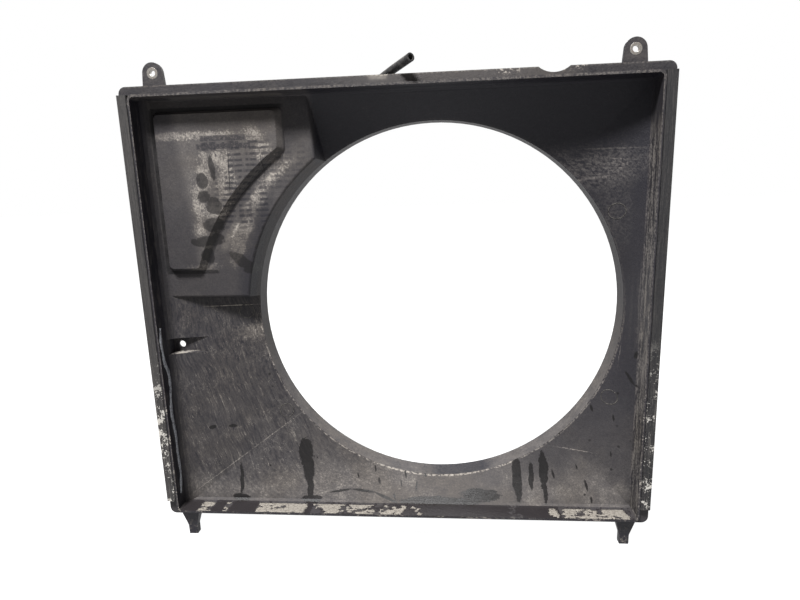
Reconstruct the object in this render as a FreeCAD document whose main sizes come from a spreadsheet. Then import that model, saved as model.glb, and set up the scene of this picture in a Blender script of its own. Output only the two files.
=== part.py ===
import FreeCAD, Part
import math
import os
import Sketcher

# Radiator fan shroud, one moulded shell with the pieces that are fitted to it.
# Frame: X to the right, Y from the radiator side to the engine side, Z up.
# The radiator side faces -Y.  The sizes below are taken from the middle of
# the tray's mouth; every finished piece is then placed so that the origin is
# the midpoint between the two upper bolt holes, on the sleeves' front faces.

doc = FreeCAD.newDocument("radiator_fan_shroud")
V = FreeCAD.Vector
XZ = FreeCAD.Rotation(V(1, 0, 0), 90)

# ------------------------------------------------------------ driving sizes
# name, value in mm, what it is
SIZES = [
    ("tray_half_w", 326.5, "outside of the side walls, from the middle"),
    ("tray_top", 281.0, "outside of the upper wall"),
    ("tray_bottom", 298.5, "outside of the lower wall, below the middle"),
    ("tray_depth", 28.0, "front edge of the walls to the start of the funnel"),
    ("tray_corner", 8.0, "outside corner radius of the walls"),
    ("skin", 3.0, "wall thickness"),
    ("flange_half_w", 340.0, "flange plate, half width"),
    ("flange_top", 291.5, "flange plate, upper edge"),
    ("flange_bottom", 303.5, "flange plate, lower edge below the middle"),
    ("flange_front", 7.0, "flange front face behind the walls' front edge"),
    ("flange_thick", 3.0, "flange plate thickness"),
    ("flange_corner", 9.0, "flange corner radius"),
    ("ring_x", 56.0, "fan ring centre to the right of the middle"),
    ("ring_z", -11.0, "fan ring centre height"),
    ("ring_rad", 252.0, "fan ring inside radius"),
    ("ring_front", 57.0, "funnel meets the fan ring"),
    ("ring_rear", 87.0, "rear edge of the fan ring"),
    ("bead_out", 4.0, "bead round the rear edge of the ring, outward"),
    ("bead_len", 3.5, "bead round the rear edge of the ring, along Y"),
    ("plateau_face", 30.0, "raised panel, front face"),
    ("plateau_right", -105.5, "raised panel, right edge, at the upper wall"),
    ("plateau_lean", 0.09, "raised panel, lean of the right edge"),
    ("plateau_low", 15.5, "raised panel, lower edge"),
    ("plateau_draft", 7.0, "draft of the raised panel's edges"),
    ("panel_round", 3.5, "raised panel, edge radius"),
    ("mouth_flare", 7.0, "flare of the ring where it cuts the raised panel"),
    ("pad_face", 22.0, "pad on the raised panel, front face"),
    ("pad_left", -311.0, "pad foot, left"),
    ("pad_right", -135.0, "pad foot, right"),
    ("pad_low", 52.0, "pad foot, lower edge"),
    ("pad_high", 263.0, "pad foot, upper edge"),
    ("pad_draft", 5.0, "draft of the pad's edges"),
    ("pad_corner", 7.0, "pad, corner radius"),
    ("pad_arc_x", 20.8, "pad's curved edge, centre"),
    ("pad_arc_z", -41.3, "pad's curved edge, centre"),
    ("pad_arc", 293.9, "pad's curved edge, radius at the foot"),
    ("seat_x", -295.0, "clip seat, middle"),
    ("seat_z", -54.5, "clip seat, middle"),
    ("seat_w", 54.0, "clip seat width"),
    ("seat_high", 22.0, "clip seat height"),
    ("seat_face", 40.0, "clip seat, front face"),
    ("seat_hole_x", -310.0, "clip hole, middle"),
    ("seat_hole_rad", 4.75, "clip hole radius"),
    ("ear_x", 292.5, "bolt hole from the middle"),
    ("ear_z", 306.0, "bolt hole height"),
    ("ear_rad", 13.0, "ear end radius"),
    ("ear_foot", 14.6, "ear half width at the flange"),
    ("ear_thick", 5.0, "ear thickness"),
    ("sleeve_out", 7.0, "sleeve outside radius"),
    ("sleeve_bore", 3.75, "sleeve bore radius"),
    ("sleeve_proud", 0.3, "sleeve stands proud of each face of the ear"),
    ("dip_x", 200.5, "hollow in the flange's upper edge, middle"),
    ("dip_rad", 29.4, "hollow radius"),
    ("dip_deep", 6.7, "hollow depth"),
    ("leg_out", 325.3, "leg foot, outer edge"),
    ("leg_in", 296.3, "leg foot, inner edge"),
    ("leg_tip_out", 317.5, "leg tip, outer edge"),
    ("leg_tip_in", 304.7, "leg tip, inner edge"),
    ("leg_knee", 326.0, "leg narrows down to here, below the middle"),
    ("leg_tip", 340.0, "leg tip, below the middle"),
    ("leg_rear", 23.0, "leg foot, rear face"),
    ("leg_tip_front", 11.5, "leg tip, front face"),
    ("leg_tip_rear", 21.0, "leg tip, rear face"),
    ("leg_wall", 2.2, "wall round the hollow of the leg's tip"),
    ("leg_hollow", 12.0, "depth of the hollow"),
    ("seal_gap", 1.0, "groove between a side seal and the wall"),
    ("seal_half", 280.7, "side seal, half length"),
    ("seal_round", 1.2, "side seal, front edge radius"),
    ("hose_out", 5.2, "overflow hose, outside radius"),
    ("hose_bore", 3.4, "overflow hose, bore radius"),
    ("hook_play", 0.15, "room between hose and hook"),
    ("hook_skin", 2.4, "hook thickness"),
    ("hook_long", 9.0, "hook length along the hose"),
    ("rib_thick", 2.5, "rib behind the funnel, thickness"),
    ("rib_reach", 17.0, "rib, radial reach"),
    ("bend_start", 14.4, "walls begin to turn into the funnel, before tray_depth"),
    ("bend_a", 8.0, "first level of the bend, before tray_depth"),
    ("bend_b", 3.0, "second level, before tray_depth"),
    ("bend_c", 0.5, "third level, behind tray_depth"),
    ("bend_d", 3.2, "last level, behind tray_depth"),
    ("left_a", 1.2, "left side moves in at the first level"),
    ("left_b", 4.1, "and at the second"),
    ("left_c", 7.9, "and at the third"),
    ("left_d", 14.2, "and at the last"),
    ("top_a", 0.02, "upper side moves in at the first level"),
    ("top_b", 0.2, "and at the second"),
    ("top_c", 1.6, "and at the third"),
    ("top_d", 4.2, "and at the last"),
    ("right_a", 0.02, "right side moves in at the first level"),
    ("right_b", 0.06, "and at the second"),
    ("right_c", 0.5, "and at the third"),
    ("right_d", 1.7, "and at the last"),
    ("low_a", 0.02, "lower side moves in at the first level"),
    ("low_b", 0.1, "and at the second"),
    ("low_c", 0.8, "and at the third"),
    ("low_d", 3.7, "and at the last"),
]
sheet = doc.addObject("Spreadsheet::Sheet", "Sizes")
for row, (name, value, what) in enumerate(SIZES, 1):
    sheet.set("A%d" % row, name)
    sheet.set("B%d" % row, str(value))
    sheet.setAlias("B%d" % row, name)
    sheet.set("C%d" % row, what)
doc.recompute()


def size(name):
    return float(sheet.get(name))


def bind(obj, **kw):
    """Bind properties to expressions over the sheet."""
    for prop, expr in kw.items():
        obj.setExpression(prop.replace("__", "."), expr)


def S(text):
    """Expression text with every size name pointed at the sheet."""
    out, word = [], ""
    for ch in text + " ":
        if ch.isalnum() or ch == "_":
            word += ch
            continue
        out.append("Sizes." + word if word in NAMES else word)
        word = ""
        out.append(ch)
    return "".join(out).strip()


NAMES = {n for n, _, _ in SIZES}


def box(name, x0, x1, y0, y1, z0, z1):
    b = doc.addObject("Part::Box", name)
    bind(b, Length=S("(%s) - (%s)" % (x1, x0)), Width=S("(%s) - (%s)" % (y1, y0)),
         Height=S("(%s) - (%s)" % (z1, z0)),
         Placement__Base__x=S(x0), Placement__Base__y=S(y0), Placement__Base__z=S(z0))
    return b


def drum(name, x, z, y0, y1, rad):
    """Cylinder along +Y."""
    c = doc.addObject("Part::Cylinder", name)
    c.Placement = FreeCAD.Placement(V(0, 0, 0), FreeCAD.Rotation(V(1, 0, 0), -90))
    bind(c, Radius=S(rad), Height=S("(%s) - (%s)" % (y1, y0)),
         Placement__Base__x=S(x), Placement__Base__y=S(y0), Placement__Base__z=S(z))
    return c


def cone(name, x, z, y0, y1, r0, r1):
    c = doc.addObject("Part::Cone", name)
    c.Placement = FreeCAD.Placement(V(0, 0, 0), FreeCAD.Rotation(V(1, 0, 0), -90))
    bind(c, Radius1=S(r0), Radius2=S(r1), Height=S("(%s) - (%s)" % (y1, y0)),
         Placement__Base__x=S(x), Placement__Base__y=S(y0), Placement__Base__z=S(z))
    return c


def wedge(name, y0, y1, front, rear):
    """Drafted block: front and rear are (x0, x1, z0, z1)."""
    w = doc.addObject("Part::Wedge", name)
    bind(w, Ymin=S(y0), Ymax=S(y1), Xmin=S(front[0]), Xmax=S(front[1]),
         Zmin=S(front[2]), Zmax=S(front[3]), X2min=S(rear[0]), X2max=S(rear[1]),
         Z2min=S(rear[2]), Z2max=S(rear[3]))
    return w


def fuse(name, *parts):
    f = doc.addObject("Part::MultiFuse", name)
    f.Shapes = list(parts)
    f.Refine = True
    return f


def cut(name, base, tool):
    c = doc.addObject("Part::Cut", name)
    c.Base, c.Tool = base, tool
    return c


def outline(name, y, points):
    """Closed sketch of straight edges in a plane across Y; each point is a
    pair of expressions, positive or negative, fixed by two dimensions."""
    sk = doc.addObject("Sketcher::SketchObject", name)
    sk.Placement = FreeCAD.Placement(V(0, 0, 0), XZ)
    sk.setExpression("Placement.Base.y", S(y))
    vals = [(evaluate(px), evaluate(pz)) for px, pz in points]
    n = len(vals)
    for i in range(n):
        a, b = vals[i], vals[(i + 1) % n]
        sk.addGeometry(Part.LineSegment(V(a[0], a[1], 0), V(b[0], b[1], 0)), False)
    for i in range(n):
        sk.addConstraint(Sketcher.Constraint("Coincident", i, 2, (i + 1) % n, 1))
    for i, (px, pz) in enumerate(points):
        dim(sk, "DistanceX", i, px, vals[i][0], "px%d" % i)
        dim(sk, "DistanceY", i, pz, vals[i][1], "pz%d" % i)
    return sk


def dim(sk, kind, i, expr, value, label):
    if value < 0:
        k = sk.addConstraint(Sketcher.Constraint(kind, i, 1, -1, 1, -value))
        expr = "-(%s)" % expr
    else:
        k = sk.addConstraint(Sketcher.Constraint(kind, -1, 1, i, 1, value))
    sk.renameConstraint(k, label)
    sk.setExpression("Constraints." + label, S(expr))


def evaluate(expr):
    return float(sheet.evalExpression(expr))


def extrude(name, sk, length):
    e = doc.addObject("Part::Extrusion", name)
    e.Base = sk
    e.DirMode = "Custom"
    e.Dir = V(0, 1, 0)
    e.Solid = True
    bind(e, LengthFwd=S(length))
    return e


def rounded(name, src, pick, radius_name):
    """Fillet of the edges that pick() accepts."""
    doc.recompute()
    f = doc.addObject("Part::Fillet", name)
    f.Base = src
    r = size(radius_name) if isinstance(radius_name, str) else radius_name
    f.Edges = [(i, r, r) for i, e in enumerate(src.Shape.Edges, 1) if pick(e)]
    return f


def place(obj, label):
    """Name a finished piece and move it into the part's own frame."""
    obj.Label = label
    bind(obj, Placement__Base__y=S("-(flange_front - sleeve_proud)"),
         Placement__Base__z=S("-ear_z"))
    PIECES.append(obj)
    return obj


PIECES = []
YDIR = V(0, 1, 0)


def along_y(e):
    return (e.Curve.TypeId == "Part::GeomLine"
            and abs(abs(e.tangentAt(e.FirstParameter).dot(YDIR)) - 1) < 1e-6)


# ---------------------------------------------------------------- the shell
def funnel(name, half_w, top, low, y0, rad, y1):
    """Square-to-round funnel: each straight side of the tray runs to the arc
    of the ring that faces it, so that creases run out to the corners."""
    corners = [("-(%s)" % half_w, top), (half_w, top), (half_w, "-(%s)" % low),
               ("-(%s)" % half_w, "-(%s)" % low)]
    levels = [outline(name + "_mouth", y0 + " - bend_start", corners)]
    for k, sign in (("a", "-"), ("b", "-"), ("c", "+"), ("d", "+")):
        left, right = "-(%s) + left_%s" % (half_w, k), "(%s) - right_%s" % (half_w, k)
        up, down = "(%s) - top_%s" % (top, k), "-(%s) + low_%s" % (low, k)
        levels.append(outline(name + "_bend_" + k, "%s %s bend_%s" % (y0, sign, k),
                              [(left, up), (right, up), (right, down), (left, down)]))
    sk = doc.addObject("Sketcher::SketchObject", name + "_throat")
    sk.Placement = FreeCAD.Placement(V(0, 0, 0), XZ)
    sk.setExpression("Placement.Base.y", S(y1))
    cx, cz, r = size("ring_x"), size("ring_z"), evaluate(rad)
    ang = [math.atan2(evaluate(pz) - cz, evaluate(px) - cx) for px, pz in corners]
    for i in range(4):
        a, b = ang[i], ang[(i + 1) % 4]
        circle = Part.Circle(V(cx, cz, 0), V(0, 0, 1), r)
        while b > a:
            b -= 2 * math.pi
        sk.addGeometry(Part.ArcOfCircle(circle, b, a), False)
    # arcs run from b to a, so arc i ends where arc i-1 starts
    for i in range(3):
        sk.addConstraint(Sketcher.Constraint("Coincident", i, 1, (i + 1) % 4, 2))
    for i in range(1, 4):
        sk.addConstraint(Sketcher.Constraint("Coincident", i, 3, 0, 3))
    k = sk.addConstraint(Sketcher.Constraint("DistanceX", -1, 1, 0, 3, cx))
    sk.renameConstraint(k, "cx")
    sk.setExpression("Constraints.cx", S("ring_x"))
    k = sk.addConstraint(Sketcher.Constraint("DistanceY", 0, 3, -1, 1, -cz))
    sk.renameConstraint(k, "cz")
    sk.setExpression("Constraints.cz", S("-ring_z"))
    k = sk.addConstraint(Sketcher.Constraint("Radius", 0, r))
    sk.renameConstraint(k, "throat_radius")
    sk.setExpression("Constraints.throat_radius", S(rad))
    # the breaks between the arcs lie on the lines from the centre to the corners
    for i, geo, end in ((0, 0, 2), (1, 1, 2), (2, 2, 2), (3, 3, 2), (4, 3, 1)):
        px, pz = corners[i % 4]
        far = "sqrt(((%s) - ring_x)^2 + ((%s) - ring_z)^2)" % (px, pz)
        ex = "ring_x + (%s) * ((%s) - ring_x) / %s" % (rad, px, far)
        v = evaluate(ex)
        if v < 0:
            k = sk.addConstraint(Sketcher.Constraint("DistanceX", geo, end, -1, 1, -v))
            ex = "-(%s)" % ex
        else:
            k = sk.addConstraint(Sketcher.Constraint("DistanceX", -1, 1, geo, end, v))
        sk.renameConstraint(k, "bx%d" % i)
        sk.setExpression("Constraints.bx%d" % i, S(ex))
    loft = doc.addObject("Part::Loft", name)
    loft.Sections = levels + [sk]
    loft.Solid = True
    loft.Ruled = True
    return loft


def tray(name, half_w, top, low, y0, y1, rad, throat_y, throat_rad):
    """Box of the tray with its funnel, corners rounded right through."""
    body = fuse(name + "_sharp",
                box(name + "_box", "-(%s)" % half_w, half_w, y0, y1 + " - bend_start",
                    "-(%s)" % low, top),
                funnel(name + "_funnel", half_w, top, low, y1, throat_rad, throat_y))
    post = box(name + "_post", "-(%s)" % half_w, half_w, y0, "ring_rear", "-(%s)" % low, top)
    post = rounded(name + "_post_round", post, along_y, rad)
    both = doc.addObject("Part::MultiCommon", name)
    both.Shapes = [body, post]
    both.Refine = True
    return both


skin = size("skin")
outer_tray = tray("outer_tray", "tray_half_w", "tray_top", "tray_bottom", "0",
                  "tray_depth + skin", size("tray_corner"), "ring_front + skin", "ring_rad + skin")
inner_tray = tray("inner_tray", "tray_half_w - skin", "tray_top - skin", "tray_bottom - skin",
                  "-1", "tray_depth", size("tray_corner") - skin, "ring_front", "ring_rad")

# raised panel in the upper left corner and the pad on it
wide = "-(tray_half_w + 20)"
high = "tray_top + 20"


def raised(name, face, grow):
    """Block that lifts the panel; its ring side follows the flared mouth."""
    deep = "ring_front + 8"
    run = "((%s) - (%s)) / (ring_front - plateau_face)" % (deep, face)
    plans = []
    for tag, y, out in (("front", face, "0"), ("rear", deep, "plateau_draft * %s" % run)):
        right = "plateau_right - (%s) + %s" % (grow, out)
        low = "plateau_low + (%s) - (%s) / 2" % (grow, out)
        plans.append(outline(name + "_" + tag, y, [
            (wide, low), (right + " + plateau_lean * (tray_top - plateau_low)", low),
            (right + " - plateau_lean * 20", high), (wide, high)]))
    block = doc.addObject("Part::Loft", name + "_block")
    block.Sections = plans
    block.Solid = True
    block.Ruled = True
    flare = cone(name + "_flare", "ring_x", "ring_z", face, "(%s) + ring_front - plateau_face" % face,
                 "ring_rad + mouth_flare + (%s)" % grow, "ring_rad + (%s)" % grow)
    throat = drum(name + "_throat", "ring_x", "ring_z", "(%s) + ring_front - plateau_face - 1" % face,
                  "ring_rear + 5", "ring_rad + (%s)" % grow)
    return cut(name, block, fuse(name + "_clear", flare, throat))


def pad(name, face, foot, grow):
    """Pad whose right side is an arc round the fan ring."""
    g = "(%s)" % grow
    d = "pad_draft"
    block = wedge(name + "_block", face, foot,
                  ("pad_left + %s + %s" % (d, g), "pad_right - %s * 2 - %s" % (d, g),
                   "pad_low + %s + %s" % (d, g), "pad_high - %s - %s" % (d, g)),
                  ("pad_left + " + g, "pad_right - " + g, "pad_low + " + g, "pad_high - " + g))
    arc = cone(name + "_arc", "pad_arc_x", "pad_arc_z", face, foot,
               "pad_arc + 9 + " + g, "pad_arc + " + g)
    sharp = cut(name + "_sharp", block, arc)
    doc.recompute()
    return rounded(name, sharp, lambda e: e.BoundBox.YLength > 1 and e.Length < 20, "pad_corner")


step_in = raised("panel_front", "plateau_face", "0")
step_out = raised("panel_back", "plateau_face + skin", "skin")
pad_in = pad("pad_front", "pad_face", "plateau_face + 1", "0")
pad_out = pad("pad_back", "pad_face + skin", "plateau_face + skin + 1", "skin - 0.5")

step_sharp = fuse("panel_with_pad", step_in, pad_in)


def front_edge(e):
    """Edges round the raised panel's face, away from the walls."""
    b, y = e.BoundBox, size("plateau_face")
    on_face = b.YLength < 0.01 and abs(b.YMin - y) < 0.01
    outer = b.XMin < -size("tray_half_w") or b.ZMax > size("tray_top")
    low = b.ZLength < 0.01 and abs(b.ZMin - size("plateau_low")) < 0.5
    right = b.XMax > -120 and b.ZLength > 50
    return on_face and (low or right or b.XMax > size("pad_right") + 10)


step_top = rounded("panel_soft", step_sharp, front_edge, "panel_round")
cavity_tray = cut("cavity_tray", inner_tray, step_top)
throat = drum("throat", "ring_x", "ring_z", "ring_front - 10", "ring_rear + 5", "ring_rad")
seat_cut = box("seat_cut", "seat_x - seat_w / 2", "seat_x + seat_w / 2", "tray_depth - 14", "seat_face",
               "seat_z - seat_high / 2", "seat_z + seat_high / 2")
seat_hole = drum("seat_hole", "seat_hole_x", "seat_z", "tray_depth - 5", "ring_rear", "seat_hole_rad")
cavity = fuse("cavity", cavity_tray, throat, seat_cut, seat_hole)

ring_out = drum("ring_out", "ring_x", "ring_z", "ring_front - 6", "ring_rear", "ring_rad + skin")
bead = drum("ring_bead", "ring_x", "ring_z", "ring_rear - bead_len", "ring_rear",
            "ring_rad + skin + bead_out")
seat_boss = box("seat_boss", "-tray_half_w", "seat_x + seat_w / 2 + skin", "tray_depth", "seat_face + skin",
                "seat_z - seat_high / 2 - skin", "seat_z + seat_high / 2 + skin")
back = cut("back", outer_tray, fuse("back_relief", step_out, pad_out))

# flange plate with rounded corners
plate = box("flange_plate", "-flange_half_w", "flange_half_w", "flange_front",
            "flange_front + flange_thick", "-flange_bottom", "flange_top")
flange = rounded("flange", plate, along_y, "flange_corner")

# ears with the holes for the sleeves
ears = []
for side, sg in (("left", "-"), ("right", "")):
    x = "(%sear_x)" % sg
    foot = outline("ear_%s_plan" % side, "flange_front",
                   [(x + " - ear_foot", "flange_top - 4"), (x + " + ear_foot", "flange_top - 4"),
                    (x + " + ear_rad * 0.99", "ear_z + 1.8"), (x + " - ear_rad * 0.99", "ear_z + 1.8")])
    ears.append(fuse("ear_" + side, extrude("ear_%s_foot" % side, foot, "ear_thick"),
                     drum("ear_%s_end" % side, x, "ear_z", "flange_front", "flange_front + ear_thick", "ear_rad")))
ear_holes = [drum("ear_hole_" + s, "%sear_x" % g, "ear_z", "flange_front - 5", "flange_front + ear_thick + 5",
                  "sleeve_out") for s, g in (("left", "-"), ("right", ""))]
dip = drum("flange_dip", "dip_x", "flange_top + dip_rad - dip_deep", "flange_front - 5",
           "flange_front + flange_thick + 2", "dip_rad")

# legs: tapered foot and hollow square tip
leg_foot = doc.addObject("Part::Wedge", "leg_foot")
bind(leg_foot, Ymin=S("tray_bottom - 1"), Ymax=S("leg_knee"), Xmin=S("-leg_out"), Xmax=S("-leg_in"),
     Zmin=S("flange_front"), Zmax=S("leg_rear"), X2min=S("-leg_tip_out"), X2max=S("-leg_tip_in"),
     Z2min=S("leg_tip_front"), Z2max=S("leg_tip_rear"))
leg_foot.Placement = FreeCAD.Placement(V(0, 0, 0), FreeCAD.Rotation(V(1, 0, 0), -90))
leg_peg = box("leg_peg", "-leg_tip_out", "-leg_tip_in", "leg_tip_front", "leg_tip_rear",
              "-leg_tip", "-leg_knee + 1")
leg_full = fuse("leg_full", leg_foot, leg_peg)
leg_void = box("leg_void", "-leg_tip_out + leg_wall", "-leg_tip_in - leg_wall",
               "leg_tip_front + leg_wall", "leg_tip_rear - leg_wall",
               "-leg_tip - 1", "-leg_tip + leg_hollow")
leg_left = cut("leg_left", leg_full, leg_void)
leg_right = doc.addObject("Part::Mirroring", "leg_right")
leg_right.Source = leg_left
leg_right.Normal = V(1, 0, 0)

# ribs between the ring and the back of the funnel
ribs = []
for k, deg in enumerate((38, 62, 118, 142, 166, 190, 214, 238, 302, 326)):
    rib = wedge("rib_%d" % k, "tray_depth + skin", "ring_rear - bead_len - 8",
                ("ring_rad + 1", "ring_rad + skin + rib_reach", "-rib_thick / 2", "rib_thick / 2"),
                ("ring_rad + 1", "ring_rad + skin + 1", "-rib_thick / 2", "rib_thick / 2"))
    rib.Placement = FreeCAD.Placement(V(0, 0, 0), FreeCAD.Rotation(V(0, 1, 0), -deg))
    bind(rib, Placement__Base__x=S("ring_x"), Placement__Base__z=S("ring_z"))
    ribs.append(rib)


# -------------------------------------------------------- the overflow hose
# Open upper end in front of the flange, then over the upper wall and down
# behind the funnel on the left, each bend a tangent arc as large as its two
# runs allow.
ROUTE = [(32.4, -12.0, 305.6), (-3.9, 35.0, 295.1), (-45.0, 55.0, 270.5),
         (-99.0, 55.0, 238.0), (-151.0, 50.0, 196.5), (-194.0, 48.5, 147.0),
         (-226.0, 50.0, 89.0), (-244.0, 53.5, 27.0), (-252.5, 57.0, -36.0),
         (-251.0, 57.5, -97.0), (-245.5, 56.0, -155.0)]


def route_wire(points):
    pts = [V(*p) for p in points]
    edges, here = [], pts[0]
    radii = []
    for a, b, c in zip(pts, pts[1:], pts[2:]):
        u, w = (a - b), (c - b)
        run = min(u.Length, w.Length)
        u.normalize()
        w.normalize()
        half = math.acos(max(-1, min(1, -u.dot(w)))) / 2
        back_off = 0.45 * run
        radius = back_off / math.tan(half)
        radii.append(radius)
        p, q = b + u * back_off, b + w * back_off
        mid_dir = (u + w)
        mid_dir.normalize()
        centre = b + mid_dir * (radius / math.cos(half))
        mid = centre - mid_dir * radius
        if (p - here).Length > 1e-6:
            edges.append(Part.LineSegment(here, p).toShape())
        edges.append(Part.Arc(p, mid, q).toShape())
        here = q
    edges.append(Part.LineSegment(here, pts[-1]).toShape())
    return Part.Wire(edges), radii


path, radii = route_wire(ROUTE)
print("hose length %.1f mm, bend radii %s" % (path.Length, [round(r) for r in radii]))
start = V(*ROUTE[0])
aim = V(*ROUTE[1]) - start
aim.normalize()


def tube(radius, length_path):
    ring = Part.Wire([Part.makeCircle(radius, start, aim)])
    return length_path.makePipeShell([ring], True, True)


hose = doc.addObject("Part::Feature", "hose_tube")
hose.Shape = tube(size("hose_out"), path).cut(tube(size("hose_bore"), path))
area = math.pi * (size("hose_out") ** 2 - size("hose_bore") ** 2)
print("hose volume %.0f, section x length %.0f" % (hose.Shape.Volume, area * path.Length))
hose.Placement = FreeCAD.Placement()
place(hose, "overflow_hose")


# moulded hooks that hold the hose to the back of the shell
def hook(name, a, b, toward, stem, turn=0.5):
    """Open ring round the hose between route points a and b, with a stem."""
    p, q = V(*ROUTE[a]), V(*ROUTE[b])
    d = q - p
    d.normalize()
    t = V(*toward)
    t = t - d * t.dot(d)
    t.normalize()
    side = t.cross(d)
    m = FreeCAD.Matrix(side.x, t.x, d.x, 0, side.y, t.y, d.y, 0, side.z, t.z, d.z, 0, 0, 0, 0, 1)
    rot = FreeCAD.Placement(m).Rotation
    centre = p + (q - p) * turn

    def put(o, dx, dy, dz):
        o.Placement = FreeCAD.Placement(centre + side * dx + t * dy + d * dz, rot)
        return o
    outer = doc.addObject("Part::Cylinder", name + "_outer")
    bind(outer, Radius=S("hose_out + hook_play + hook_skin"), Height=S("hook_long"))
    inner = doc.addObject("Part::Cylinder", name + "_inner")
    bind(inner, Radius=S("hose_out + hook_play"), Height=S("hook_long * 3"))
    post = doc.addObject("Part::Box", name + "_stem")
    bind(post, Length=S("hook_skin * 2"), Height=S("hook_long"))
    post.Width = stem
    slot = doc.addObject("Part::Box", name + "_slot")
    bind(slot, Length=S("hose_out * 1.5"), Height=S("hook_long * 3"), Width=S("hose_out * 3"))
    long_, r = size("hook_long"), size("hose_out")
    put(outer, 0, 0, -long_ / 2)
    put(inner, 0, 0, -long_ * 1.5)
    put(post, -size("hook_skin"), r, -long_ / 2)
    put(slot, -r * 0.75, -r * 3, -long_ * 1.5)
    return cut(name, fuse(name + "_solid", outer, post), fuse(name + "_gap", inner, slot))


hooks = [hook("hook_top", 1, 2, (0.1, -0.45, -1), 12),
         hook("hook_upper", 3, 4, (0, -1, 0), 18),
         hook("hook_middle", 5, 6, (0, -1, 0), 22),
         hook("hook_lower", 8, 9, (0, -1, 0), 10)]

shell_solid = fuse("shell_solid", back, ring_out, bead, seat_boss, flange,
                   *(ears + [leg_left, leg_right] + ribs + hooks))
shell_open = cut("shell_open", shell_solid, fuse("openings", cavity, dip, *ear_holes))
place(shell_open, "shroud_shell")


# ----------------------------------------------------------- fitted pieces
def plane(body, role):
    return next(f for f in body.Origin.OriginFeatures if f.Role == role)


def sleeve(side, sign):
    """Steel sleeve pressed into an ear, so that the bolt can be tightened."""
    body = doc.addObject("PartDesign::Body", "sleeve_" + side)
    sk = body.newObject("Sketcher::SketchObject", "sleeve_%s_ring" % side)
    sk.AttachmentSupport = [(plane(body, "XZ_Plane"), "")]
    sk.MapMode = "FlatFace"
    for k, alias in enumerate(("sleeve_out", "sleeve_bore")):
        sk.addGeometry(Part.Circle(V(0, 0, 0), V(0, 0, 1), size(alias)), False)
        sk.addConstraint(Sketcher.Constraint("Coincident", k, 3, -1, 1))
        c = sk.addConstraint(Sketcher.Constraint("Radius", k, size(alias)))
        sk.renameConstraint(c, alias)
        sk.setExpression("Constraints." + alias, S(alias))
    pad_ = body.newObject("PartDesign::Pad", "sleeve_%s_wall" % side)
    pad_.Profile = sk
    pad_.Reversed = True
    bind(pad_, Length=S("ear_thick + 2 * sleeve_proud"))
    doc.recompute()
    ends = ["Edge%d" % i for i, e in enumerate(pad_.Shape.Edges, 1)
            if e.Curve.TypeId == "Part::GeomCircle"]
    bevel = body.newObject("PartDesign::Chamfer", "sleeve_%s_bevel" % side)
    bevel.Base = (pad_, ends)
    bevel.Size = 0.3
    bind(body, Placement__Base__x=S(sign + "ear_x"),)
    body.Label = "ear_sleeve_" + side
    PIECES.append(body)
    return body


def seal(side):
    """Strip stuck to the flange beside a side wall, square-cut ends."""
    body = doc.addObject("PartDesign::Body", "seal_" + side)
    sk = body.newObject("Sketcher::SketchObject", "seal_%s_section" % side)
    sk.AttachmentSupport = [(plane(body, "XY_Plane"), "")]
    sk.MapMode = "FlatFace"
    wide_ = "flange_half_w - tray_half_w - seal_gap"
    w, d = evaluate(wide_), size("flange_front")
    corners = [(0, 0), (w, 0), (w, d), (0, d)]
    for i in range(4):
        a, b = corners[i], corners[(i + 1) % 4]
        sk.addGeometry(Part.LineSegment(V(a[0], a[1], 0), V(b[0], b[1], 0)), False)
    for i in range(4):
        sk.addConstraint(Sketcher.Constraint("Coincident", i, 2, (i + 1) % 4, 1))
    sk.addConstraint(Sketcher.Constraint("Horizontal", 0))
    sk.addConstraint(Sketcher.Constraint("Vertical", 1))
    sk.addConstraint(Sketcher.Constraint("Horizontal", 2))
    sk.addConstraint(Sketcher.Constraint("Vertical", 3))
    sk.addConstraint(Sketcher.Constraint("Coincident", 0, 1, -1, 1))
    c = sk.addConstraint(Sketcher.Constraint("DistanceX", 0, 1, 0, 2, w))
    sk.renameConstraint(c, "wide")
    sk.setExpression("Constraints.wide", S(wide_))
    c = sk.addConstraint(Sketcher.Constraint("DistanceY", 1, 1, 1, 2, d))
    sk.renameConstraint(c, "deep")
    sk.setExpression("Constraints.deep", S("flange_front"))
    pad_ = body.newObject("PartDesign::Pad", "seal_%s_strip" % side)
    pad_.Profile = sk
    bind(pad_, Length=S("seal_half * 2"))
    doc.recompute()
    front = ["Edge%d" % i for i, e in enumerate(pad_.Shape.Edges, 1)
             if abs(e.CenterOfMass.y) < 1e-6 and e.BoundBox.ZLength > 10]
    soft = body.newObject("PartDesign::Fillet", "seal_%s_edge" % side)
    soft.Base = (pad_, front)
    bind(soft, Radius=S("seal_round"))
    x = "-flange_half_w" if side == "left" else "tray_half_w + seal_gap"
    bind(body, Placement__Base__x=S(x), Placement__Base__y=S("-(flange_front - sleeve_proud)"),
         Placement__Base__z=S("-seal_half - ear_z"))
    body.Label = "side_seal_" + side
    PIECES.append(body)
    return body


sleeve("left", "-")
sleeve("right", "")
seal("left")
seal("right")

# ------------------------------------------------------------------- output
doc.recompute()
bad = [o.Name for o in doc.Objects if "Invalid" in o.State or "Error" in o.State]
if bad:
    raise RuntimeError("failed objects: %s" % bad)
os.makedirs("parts", exist_ok=True)
for piece in PIECES:
    shape = piece.Shape
    if shape.isNull() or not shape.isValid():
        raise RuntimeError("bad shape: %s" % piece.Label)
for piece in PIECES:
    shape = piece.Shape
    bb = shape.BoundBox
    print("%-20s solids %d faces %3d volume %9.1f mm3  x %.1f..%.1f y %.1f..%.1f z %.1f..%.1f" % (
        piece.Label, len(shape.Solids), len(shape.Faces), shape.Volume,
        bb.XMin, bb.XMax, bb.YMin, bb.YMax, bb.ZMin, bb.ZMax))
    shape.exportStep("parts/%s.step" % piece.Label)
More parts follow.
